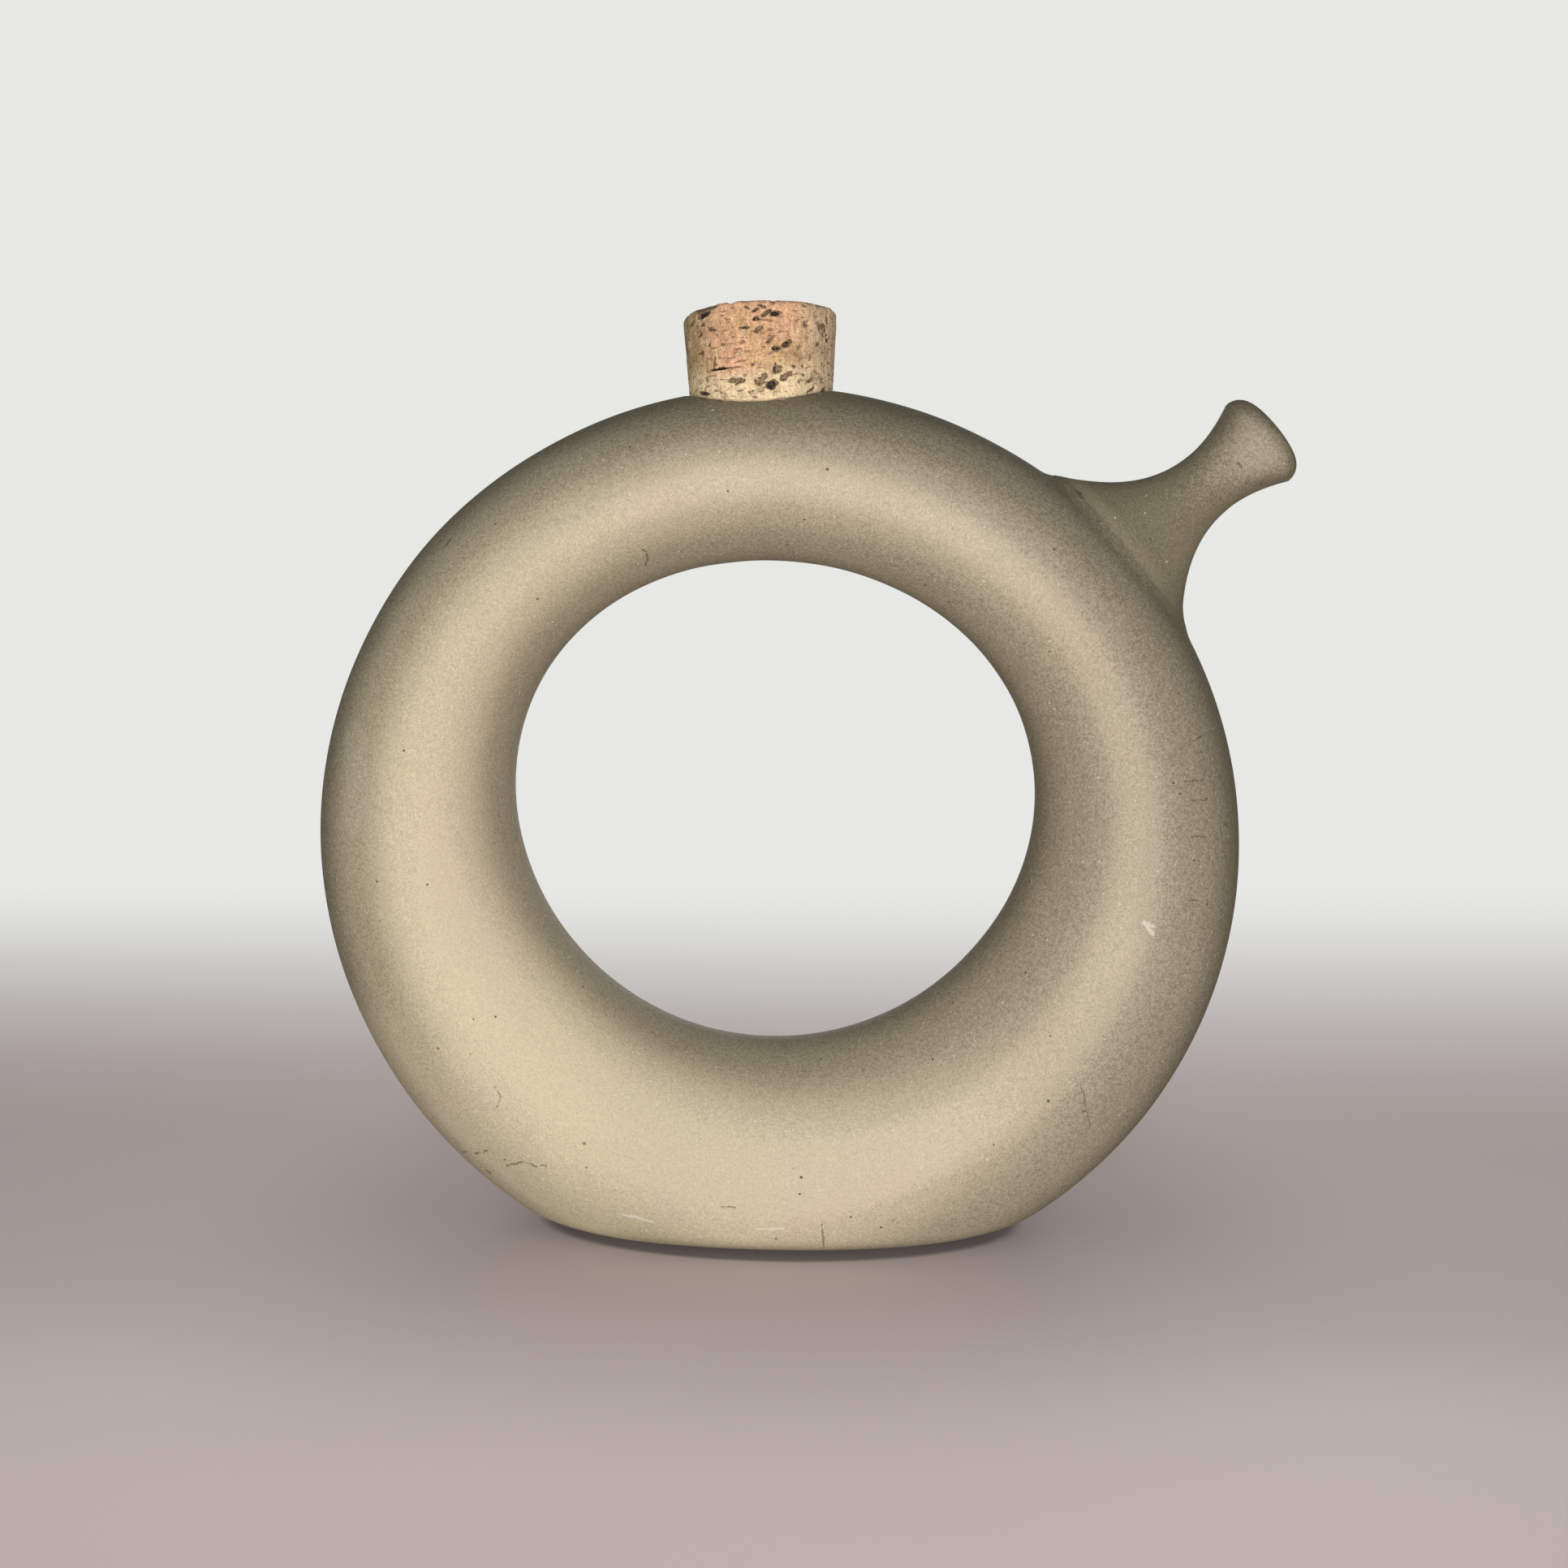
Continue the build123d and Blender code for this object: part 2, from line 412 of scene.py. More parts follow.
def build(name, points, faces):
    """Smooth mesh object in metres."""
    mesh = bpy.data.meshes.new(name)
    mesh.vertices.add(len(points))
    mesh.vertices.foreach_set("co", (points * MM).ravel())
    mesh.loops.add(faces.size)
    mesh.loops.foreach_set("vertex_index", faces.ravel())
    mesh.polygons.add(len(faces))
    mesh.polygons.foreach_set("loop_start", np.arange(0, faces.size, faces.shape[1]))
    mesh.update(calc_edges=True)
    mesh.validate()
    mesh.polygons.foreach_set("use_smooth", np.ones(len(mesh.polygons), bool))
    piece = bpy.data.objects.new(name, mesh)
    bpy.context.scene.collection.objects.link(piece)
    return piece


def half(whole, name, side):
    """One half of the ring, parted on its middle plane and closed there."""
    bm = bmesh.new()
    bm.from_mesh(whole.data)
    everything = bm.verts[:] + bm.edges[:] + bm.faces[:]
    bmesh.ops.bisect_plane(
        bm, geom=everything, dist=1e-7, plane_co=(0, 0, 0), plane_no=(0, side, 0), clear_inner=True
    )
    edge = [e for e in bm.edges if e.is_boundary]
    bmesh.ops.triangle_fill(bm, use_beauty=True, edges=edge, normal=(0, -side, 0))
    mesh = bpy.data.meshes.new(name)
    bm.to_mesh(mesh)
    bm.free()
    points = np.empty(len(mesh.vertices) * 3)
    mesh.vertices.foreach_get("co", points)
    points = points.reshape(-1, 3) / MM
    corner = np.empty(len(mesh.loops), int)
    mesh.loops.foreach_get("vertex_index", corner)
    total = np.empty(len(mesh.polygons), int)
    mesh.polygons.foreach_get("loop_total", total)
    start = np.concatenate([[0], np.cumsum(total)[:-1]])
    flat = np.minimum.reduceat(np.abs(points[corner, 1]) < 1e-3, start)
    normals = unit(slope_of(vase_solid, points, RING_STEP * SLOPE_SHARE))[corner]
    normals[np.repeat(flat, total)] = (0, -side, 0)
    mesh.polygons.foreach_set("use_smooth", np.ones(len(mesh.polygons), bool))
    mesh.normals_split_custom_set(normals)
    piece = bpy.data.objects.new(name, mesh)
    bpy.context.scene.collection.objects.link(piece)
    return piece


# Ring in two halves
ring_reach = RING_WIDTH / 2 + RING_MARGIN
ring_side = RING_DEPTH / 2 + RING_MARGIN
whole_ring = build("whole_ring", *net(
    ring_solid,
    (-ring_reach, -ring_side, 0),
    (ring_reach, ring_side, RING_HEIGHT + RING_MARGIN),
    RING_STEP,
))
front = half(whole_ring, "front_shell", -1)
back = half(whole_ring, "back_shell", 1)
bpy.data.objects.remove(whole_ring)

# Spout
spout_end = SPOUT_FOOT + SPOUT_DIRECTION * SPOUT_LENGTH
spout_side = SPOUT_FOOT_DEPTH / 2 + SPOUT_SIDE_REACH
spout_points, spout_faces = net(
    spout_solid,
    (SPOUT_FOOT[0] - SPOUT_ROOT_REACH[0], -spout_side, SPOUT_FOOT[2] - SPOUT_ROOT_REACH[1]),
    (spout_end[0] + SPOUT_RIM / 2, spout_side, spout_end[2] + SPOUT_RIM / 2),
    SPOUT_STEP,
)
spout = build("poured_spout", spout_points, spout_faces)
spout_slope = slope_of(vase_solid, spout_points, SPOUT_STEP * SLOPE_SHARE)
spout.data.normals_split_custom_set_from_vertices(unit(spout_slope))

# Lenticels of the cork that face the camera: degrees round from the front, height above the cork's
# foot, length, width, tilt in degrees, and depth, with the lengths in millimetres
LENTICELS = (
    (-40, 31.6, 4.2, 1.3, 12, 1.0), (-54, 30.4, 2.2, 0.9, 20, 0.8), (-41, 29.6, 1.8, 0.8, 0, 0.7),
    (-32, 28.2, 2.6, 0.5, -8, 0.6), (-45, 27.5, 1.9, 0.8, 20, 0.9), (-35, 25.0, 1.1, 0.9, 0, 0.7),
    (-23, 24.8, 1.3, 0.4, 0, 0.6), (-46, 23.6, 1.9, 0.7, -10, 0.8), (-31, 21.4, 0.5, 2.9, -12, 0.5),
    (-29, 19.6, 7.0, 0.45, 1, 1.0), (-13, 19.8, 4.0, 0.25, 1, 0.5), (-41, 18.0, 0.6, 1.1, 0, 0.6),
    (-6, 28.1, 2.3, 0.5, 4, 0.8), (3, 29.9, 1.4, 0.8, 10, 0.8), (5, 27.6, 2.6, 0.8, 24, 0.6),
    (-3, 32.3, 1.9, 0.5, -28, 0.7), (3, 31.7, 2.2, 0.6, 22, 0.9), (8, 32.5, 1.5, 0.5, -20, 0.7),
    (11, 31.0, 2.6, 0.8, 30, 0.8), (18, 31.0, 2.4, 1.0, 12, 1.0),
    (13, 25.2, 2.4, 0.9, 28, 0.5), (0, 23.2, 1.2, 0.9, 0, 0.3), (18, 23.5, 2.4, 1.0, 12, 1.0),
    (26, 24.6, 2.6, 1.2, 26, 0.9), (0, 20.2, 0.6, 0.6, 0, 0.5), (18, 19.3, 3.0, 2.2, 40, 0.7),
    (-12, 16.9, 4.2, 1.3, 0, 0.6), (6, 16.9, 4.0, 2.0, 28, 0.5), (15, 15.9, 2.8, 1.7, 25, 1.0),
    (26, 17.6, 3.2, 1.3, 30, 0.6), (32, 19.9, 0.7, 0.6, 0, 0.6), (40, 20.0, 0.8, 0.8, 0, 0.7),
    (41, 18.1, 0.9, 0.6, 0, 0.6), (37, 16.5, 0.6, 0.6, 0, 0.5), (48, 17.0, 2.8, 0.8, 25, 0.6),
    (49, 15.0, 3.2, 0.5, 30, 0.7), (64, 15.0, 2.0, 1.4, 10, 0.7), (-46, 14.8, 4.6, 0.8, -10, 0.9),
    (43, 29.1, 2.6, 1.8, 20, 0.35), (61, 28.0, 3.0, 4.6, 40, 0.27), (66, 31.0, 1.2, 2.6, 0, 0.6),
    (56, 25.2, 1.8, 0.8, 20, 0.7), (68, 26.2, 1.6, 0.8, 20, 0.7), (61, 20.8, 0.7, 0.6, 0, 0.6),
    (47, 22.0, 0.7, 1.6, 0, 0.5), (-1, 14.5, 2.0, 0.4, 10, 0.5),
)

# Lenticels round the rest of the cork: how many, seed, and least and spread of each of the same measures,
# where the spread of the width is a share of the length
BACK_LENTICELS = 80
BACK_SEED = 11
BACK_TURN = 78, 204
BACK_HEIGHT = 2, 30
BACK_LENGTH = 0.7, 3.2
BACK_WIDTH = 0.5, 0.35
BACK_TILT = -5, 25
BACK_DEPTH = 0.4, 0.6


def all_lenticels():
    """The lenticels above, and more of them scattered over the rest of the cork's side."""
    random = np.random.default_rng(BACK_SEED)
    rows = list(LENTICELS)
    for _ in range(BACK_LENTICELS):
        length = BACK_LENGTH[0] + BACK_LENGTH[1] * random.random() ** 2
        turn = BACK_TURN[0] + BACK_TURN[1] * random.random()
        height = BACK_HEIGHT[0] + BACK_HEIGHT[1] * random.random()
        width = BACK_WIDTH[0] + BACK_WIDTH[1] * length * random.random()
        tilt = BACK_TILT[0] + BACK_TILT[1] * random.random()
        depth = BACK_DEPTH[0] + BACK_DEPTH[1] * random.random()
        rows.append((turn, height, length, width, tilt, depth))
    return np.array(rows)


PITS = all_lenticels()


def pit_share(p):
    """How deep each point of the cork's side or top lies in a lenticel, from 0 to 1."""
    x, y, z = p.T
    share = np.zeros(len(p))
    waver = sum(amount * noise(p, size, seed) for amount, size, seed in PIT_WAVER)
    turn = np.degrees(np.arctan2(x, -y))
    high = z - CORK_BOTTOM
    wide = np.hypot(x, y)
    for at, height, length, width, tilt, depth in PITS:
        near = np.nonzero((np.abs(high - height) < PIT_REACH) & (wide > 0.7 * CORK_BOTTOM_RADIUS))[0]
        u = np.radians(np.remainder(turn[near] - at + 180, 360) - 180) * CORK_TOP_RADIUS
        near, u = near[np.abs(u) < PIT_REACH], u[np.abs(u) < PIT_REACH]
        v = high[near] - height
        lean = math.radians(tilt)
        along = (u * math.cos(lean) + v * math.sin(lean)) / (length / 2)
        beside = (v * math.cos(lean) - u * math.sin(lean)) / (width / 2)
        spread = np.hypot(along, beside) + waver[near] * min(1, 2 / length)
        inside = np.clip((PIT_EDGE - spread) / PIT_EDGE_WIDTH, 0, 1)
        share[near] = np.maximum(share[near], depth * inside)
    # Chips along the top's edge, and pores in the top and bottom faces
    top = cork_top(x)
    rim = bell(np.hypot(wide - CORK_TOP_RADIUS, z - top), CHIP_WIDTH)
    chips = np.clip((noise(p, *CHIP_LUMPS) - CHIP_START) * CHIP_SLOPE, 0, 1) * rim
    faces = (z > top - TOP_FACE) | (z < CORK_BOTTOM + BOTTOM_FACE)
    pores = np.clip((noise(p * PORE_STRETCH, *PORE_LUMPS) - PORE_START) * PORE_SLOPE, 0, PORE_MOST) * faces
    return np.maximum(share, np.maximum(chips, pores))


def cork_solid(p):
    """Distance from the cork, with its pits, chips and slight roughness cut inwards."""
    x, y, z = p.T
    top = cork_top(x)
    worn = sum(height * (1 + noise(p, size, seed)) for height, size, seed in CORK_WEAR)
    worn = worn + PIT_DEPTH * pit_share(p)
    side = np.hypot(x, y) - cork_radius(z) + worn
    body = inside_both(side, z - top + worn, CORK_TOP_EDGE)
    return inside_both(body, CORK_BOTTOM - z, CORK_BOTTOM_EDGE)


# Cork
cork_points, cork_faces = net(
    cork_solid,
    (-CORK_TOP_RADIUS, -CORK_TOP_RADIUS, CORK_BOTTOM),
    (CORK_TOP_RADIUS, CORK_TOP_RADIUS, CORK_BOTTOM + CORK_LENGTH),
    CORK_STEP,
)
cork = build("cork", cork_points, cork_faces)
cork.data.attributes.new("pit", "FLOAT", "POINT").data.foreach_set("value", pit_share(cork_points))


def new_node(tree, kind, settings=None, **inputs):
    """Node with its settings and inputs, where an input is a value or another node's output."""
    made = tree.nodes.new(kind)
    for name, value in (settings or {}).items():
        setattr(made, name, value)
    for name, value in inputs.items():
        socket = made.inputs[int(name[1:]) if name[0] == "_" else name.replace("_", " ")]
        if isinstance(value, bpy.types.NodeSocket):
            tree.links.new(value, socket)
        else:
            socket.default_value = value
    return made


class Shader:
    """A material under way, with short names for the nodes that it needs."""

    def __init__(self, name):
        self.material = bpy.data.materials.new(name)
        self.material.use_nodes = True
        self.tree = self.material.node_tree
        self.surface = self.tree.nodes["Principled BSDF"]
        self.place = self.node("ShaderNodeTexCoord").outputs["Object"]
        self.x, self.y, self.z = self.node("ShaderNodeSeparateXYZ", Vector=self.place).outputs

    def node(self, kind, settings=None, **inputs):
        return new_node(self.tree, kind, settings, **inputs)

    def link(self, value, name):
        """Lead a value to a socket of the surface."""
        self.tree.links.new(value, self.surface.inputs[name])

    def math(self, operation, a, b=0.0, c=0.0):
        return self.node("ShaderNodeMath", {"operation": operation}, _0=a, _1=b, _2=c).outputs[0]

    def vector_math(self, operation, a, b, c=(0.0, 0.0, 0.0)):
        return self.node("ShaderNodeVectorMath", {"operation": operation}, _0=a, _1=b, _2=c).outputs[0]

    def times(self, a, b, plus=0.0):
        """One value times another, and a third added."""
        return self.math("MULTIPLY_ADD", a, b, plus)

    def product(self, first, *others):
        """Several masks times one another."""
        for other in others:
            first = self.math("MULTIPLY", first, other)
        return first

    def largest(self, masks):
        """The largest of several masks."""
        most = masks[0]
        for mask in masks[1:]:
            most = self.math("MAXIMUM", most, mask)
        return most

    def about_zero(self, noise, reach):
        """Noise from 0 to 1 spread over a reach that has zero in its middle."""
        return self.times(noise, reach, -reach / 2)

    def noise(self, size, detail=2.0, roughness=0.5, place=None):
        """Noise from 0 to 1 whose lumps are about size across, in metres."""
        settings = {"Scale": 1 / size, "Detail": detail, "Roughness": roughness}
        return self.node("ShaderNodeTexNoise", Vector=place or self.place, **settings).outputs["Fac"]

    def ramp(self, value, low, high):
        """The value stretched and limited, so that low gives 0 and high gives 1."""
        settings = {"interpolation_type": "SMOOTHSTEP"}
        made = self.node("ShaderNodeMapRange", settings, Value=value, From_Min=low, From_Max=high)
        return made.outputs["Result"]

    def between(self, value, rising, falling):
        """Mask that is full between a band of the value where it rises and one where it falls."""
        return self.math("MULTIPLY", self.ramp(value, *rising), self.ramp(value, *falling))

    def mix(self, share, a, b):
        """Colour mixed from two by a share."""
        made = self.node("ShaderNodeMix", {"data_type": "RGBA", "clamp_factor": True})
        for socket, value in zip([s for s in made.inputs if s.enabled], (share, a, b)):
            if isinstance(value, bpy.types.NodeSocket):
                self.tree.links.new(value, socket)
            else:
                socket.default_value = (*value, 1.0) if isinstance(value, tuple) else value
        return [s for s in made.outputs if s.enabled][0]

    def tint(self, colour, light):
        """Colour made lighter or darker by a value."""
        grey = self.node("ShaderNodeCombineXYZ", X=light, Y=light, Z=light).outputs[0]
        return self.vector_math("MULTIPLY", colour, grey)

    def spots(self, spacing, size, share, seed):
        """Mask of round spots, kept on about a share of their places."""
        moved = self.vector_math("ADD", self.place, (seed, seed, seed))
        cells = self.node("ShaderNodeTexVoronoi", Vector=moved, Scale=1 / spacing)
        chance = self.node("ShaderNodeSeparateColor", Color=cells.outputs["Color"]).outputs[0]
        spot = self.ramp(cells.outputs["Distance"], 0.5 * size / spacing, 0.25 * size / spacing)
        return self.math("MULTIPLY", spot, self.math("LESS_THAN", chance, share))

    def stroke(self, start, end, width, place):
        """Mask of a thin mark on the front from start to end, each x and z in millimetres."""
        (x0, z0), (x1, z1) = start, end
        length = max(math.hypot(x1 - x0, z1 - z0), 1e-3)
        ux, uz = (x1 - x0) / length, (z1 - z0) / length
        px, py, pz = self.node("ShaderNodeSeparateXYZ", Vector=place).outputs
        along = self.times(px, ux, self.times(pz, uz, -(x0 * ux + z0 * uz) * MM))
        beside = self.times(px, -uz, self.times(pz, ux, (x0 * uz - z0 * ux) * MM))
        before, after = self.math("MULTIPLY", along, -1.0), self.math("SUBTRACT", along, length * MM)
        past = self.math("MAXIMUM", self.math("MAXIMUM", before, after), 0.0)
        apart = self.math("ADD", self.math("ABSOLUTE", beside), past)
        mark = self.ramp(apart, width * MM * 0.9, width * MM * 0.35)
        return self.math("MULTIPLY", mark, self.math("LESS_THAN", py, 0.0))

    def set_surface(self, colour, roughness, specular, height):
        """The material's surface, with a bump whose height is in millimetres."""
        bump = self.node("ShaderNodeBump", Strength=1.0, Distance=MM, Height=height)
        self.link(colour, "Base Color")
        self.link(roughness, "Roughness")
        self.link(bump.outputs[0], "Normal")
        self.surface.inputs["Specular IOR Level"].default_value = specular


# Noises of the stoneware, by the size of their lumps in metres
CLOUD_SIZE = 0.070
BLUSH_SIZE = 0.034
PATCH_SIZE = 0.013
FINE_SIZE = 0.0011
GRAIN_SIZE = 0.00045

# Reach of each noise in the painted shade, in metres for the clouds and otherwise as a share
CLOUD_REACH = 0.06
PATCH_REACH = 0.10
FINE_REACH = 0.8
GRAIN_REACH = 2.4

# Rise of the painted shade towards the top right: its slope, and its level in metres
RISE_SLOPE = 0.62
RISE_LEVEL = 0.020

# Crest of the ring's front and back, where the painted highlight lies, in metres: near a circle once
# heights are stretched, and leaning inwards. Towards the left edge, which sets in by a slope, it leans
# more and is drawn in
CREST_RADIUS = 0.0866
CREST_STRETCH = 1.04
CREST_LEVEL = 0.103
CREST_LEAN = 0.14
LEFT_SLOPE = 11.5
LEFT_LEAN = 0.52
LEFT_DRAW = 0.0070

# How far the crest shifts, in metres: with the rise, and at the right from low down to the top
RISE_SHIFT = 0.0062
RIGHT_SHIFT_LOW = 0.0050
RIGHT_SHIFT_TOP = -0.0015

# Bands in which the looks change: where each has no effect and where its full one, in metres.
# They go by the rise, by height, by place from left to right, along the spout from its foot, across
# the spout, or to either side of the vase's middle plane
SHIFT_BY_RISE = (-0.06, 0.14)
THIN_BY_RISE = (-0.028, -0.050)
RIGHT_BY_HEIGHT = (0.19, 0.10)
TOP_BY_HEIGHT = (0.184, 0.200)
BASE_BY_HEIGHT = (0.075, 0.045)
RIGHT_BY_PLACE = (0.0, 0.07)
BASE_BY_PLACE = (-0.055, -0.020)
FOOT_ALONG = ((-0.010, 0.004), (0.036, 0.006))
PALE_SPOUT_ALONG = ((0.008, 0.036), (0.045, 0.037))
RIDGE_ALONG = ((0.0004, 0.0014), (0.0046, 0.0020))
UNDER_ALONG = ((0.002, 0.012), (0.034, 0.024))
RIDGE_ACROSS = (-0.020, -0.006)
UNDER_ACROSS = (-0.004, -0.010)
PALE_SPOUT_ASIDE = (0.0035, 0.0098)

# Colours of the stoneware: cream on its crest, brown painted shade at its sides, pinholes and scratches
CREAM_LEFT = (0.735, 0.635, 0.425)
CREAM_RIGHT = (0.720, 0.612, 0.455)
CREAM_BLUSH = (0.735, 0.600, 0.440)
SHADE_BROWN_LEFT = (0.255, 0.220, 0.140)
SHADE_BROWN_RIGHT = (0.235, 0.200, 0.125)
PINHOLE_COLOUR = (0.085, 0.070, 0.050)
SCRATCH_COLOUR = (0.82, 0.76, 0.64)

# Pinholes and pale specks: spacing and size in metres, share of places that have one, and seed
PINHOLES = ((0.0044, 0.0006, 0.50, 0.13), (0.0095, 0.0008, 0.28, 0.44), (0.0170, 0.0012, 0.22, 0.57))
SPECKS = ((0.0036, 0.0006, 0.65, 0.31), (0.0080, 0.0009, 0.30, 0.73))

# How finely and how far the marks waver, and the fine noise at which they break off and are whole
WAVER_SCALE = 520.0
WAVER_REACH = 0.0012
HAIRLINE_BREAKS = (0.30, 0.50)
RUBBED_BREAKS = (0.40, 0.66)

# Relief in millimetres
GRAIN_HEIGHT = 0.11
FINE_HEIGHT = 0.05
PINHOLE_DEPTH = 0.25

# Hairlines, scratches and rubbed patches of the front: start and end, each x and z, and width,
# in millimetres
DARK_MARKS = (
    ((13.1, 10.4), (13.3, 3.4), 0.35), ((-62.0, 21.6), (-57.4, 23.4), 0.45),
    ((-56.4, 23.2), (-54.0, 22.4), 0.4), ((-53.4, 22.7), (-51.6, 22.9), 0.4),
    ((-10.3, 14.1), (-7.0, 13.9), 0.5), ((-75.2, 22.1), (-72.6, 23.2), 0.35),
    ((-70.6, 23.3), (-68.4, 24.2), 0.35), ((-67.6, 24.4), (-66.4, 25.4), 0.4),
    ((-68.7, 18.4), (-67.5, 17.7), 0.7), ((-25.0, 165.7), (-24.6, 163.9), 0.4),
    ((-24.6, 163.9), (-25.7, 161.8), 0.3), ((-70.4, 167.3), (-68.9, 168.7), 0.5),
    ((93.9, 113.0), (98.6, 113.1), 0.3), ((95.2, 108.8), (99.4, 108.6), 0.3),
    ((95.6, 100.8), (99.0, 100.4), 0.3), ((95.0, 86.6), (97.6, 86.4), 0.3),
    ((97.0, 121.9), (98.0, 122.4), 0.5), ((-62.9, 42.4), (-61.7, 40.1), 0.3),
    ((-61.7, 40.1), (-62.5, 36.9), 0.3), ((72.0, 44.8), (74.6, 33.0), 0.22),
    ((71.7, 176.8), (73.0, 175.2), 0.6), ((107.0, 182.2), (107.8, 181.2), 0.5),
    ((113.3, 187.7), (113.6, 187.4), 0.6),
)
PALE_MARKS = (
    ((85.3, 82.2), (87.4, 79.4), 0.7), ((86.2, 82.0), (87.6, 81.0), 0.5),
    ((-34.0, 11.0), (-27.0, 9.6), 0.5), ((-2.0, 8.6), (4.0, 8.8), 0.4),
)
RUBBED = (
    ((-93.0, 125.0), (-93.6, 104.0), 5.5), ((-79.0, 34.0), (-71.0, 25.0), 2.6),
    ((-68.0, 23.5), (-60.0, 15.5), 1.6), ((-64.0, 17.0), (-54.0, 11.0), 1.8),
)


def along_spout(s):
    """Distance along the spout from its foot, and across it in the ring's plane."""
    foot = SPOUT_FOOT * MM
    return [
        s.times(s.z, direction[2], s.times(s.x, direction[0], -(foot @ direction)))
        for direction in (SPOUT_DIRECTION, SPOUT_ACROSS)
    ]


def painted_shade_share(s, rise, along):
    """How thick the brown painted shade lies: thin on the crest of front and back, a painted highlight,
    and thick at the sides.
    """
    # The crest shifts with the rise and at the right, and leans inwards most on the left
    shift = s.times(s.ramp(rise, *SHIFT_BY_RISE), RISE_SHIFT)
    right = s.times(s.ramp(s.z, *RIGHT_BY_HEIGHT), RIGHT_SHIFT_LOW, RIGHT_SHIFT_TOP)
    shift = s.times(s.ramp(s.x, *RIGHT_BY_PLACE), right, shift)
    level = s.times(s.z, CREST_STRETCH, -CREST_LEVEL)
    out = s.math("SQRT", s.times(s.x, s.x, s.times(level, level)))
    left = s.math("MAXIMUM", s.times(s.x, -LEFT_SLOPE), 0.0)
    out = s.math("SUBTRACT", out, s.times(left, -LEFT_DRAW, CREST_RADIUS))
    inward = s.times(out, s.times(left, LEFT_LEAN, CREST_LEAN))
    side = s.math("ABSOLUTE", s.y)
    peak = s.math("SUBTRACT", side, inward)
    crest = s.math("SUBTRACT", peak, shift)

    # Each layer: what it follows, where it sets in and is full in metres, and how much it adds
    painted_shade = 0.0
    # The layer on the peak takes brown away, a painted highlight along the crest
    for measure, none, full, amount in (
        (crest, 0.0270, 0.0150, 0.62),
        (crest, 0.0130, -0.0030, 0.32),
        (peak, 0.0258, 0.0274, -0.20),
        (rise, 0.01, 0.13, 0.16),
    ):
        painted_shade = s.times(s.ramp(measure, none, full), amount, painted_shade)

    # The painted shade is thinner low on the left and on the spout's crest, leaving painted highlights
    # there, and thicker along the top and at the spout's foot
    painted_shade = s.math("MULTIPLY", painted_shade, s.times(s.ramp(rise, *THIN_BY_RISE), -0.45, 1.0))
    spout_foot = s.between(along, *FOOT_ALONG)
    spout_crest = s.product(s.ramp(side, *PALE_SPOUT_ASIDE), s.between(along, *PALE_SPOUT_ALONG))
    for mask, amount in ((s.ramp(s.z, *TOP_BY_HEIGHT), 0.14), (spout_foot, 0.05), (spout_crest, -0.54)):
        painted_shade = s.times(mask, amount, painted_shade)
    return s.math("ADD", painted_shade, s.about_zero(s.noise(PATCH_SIZE, 3), PATCH_REACH))


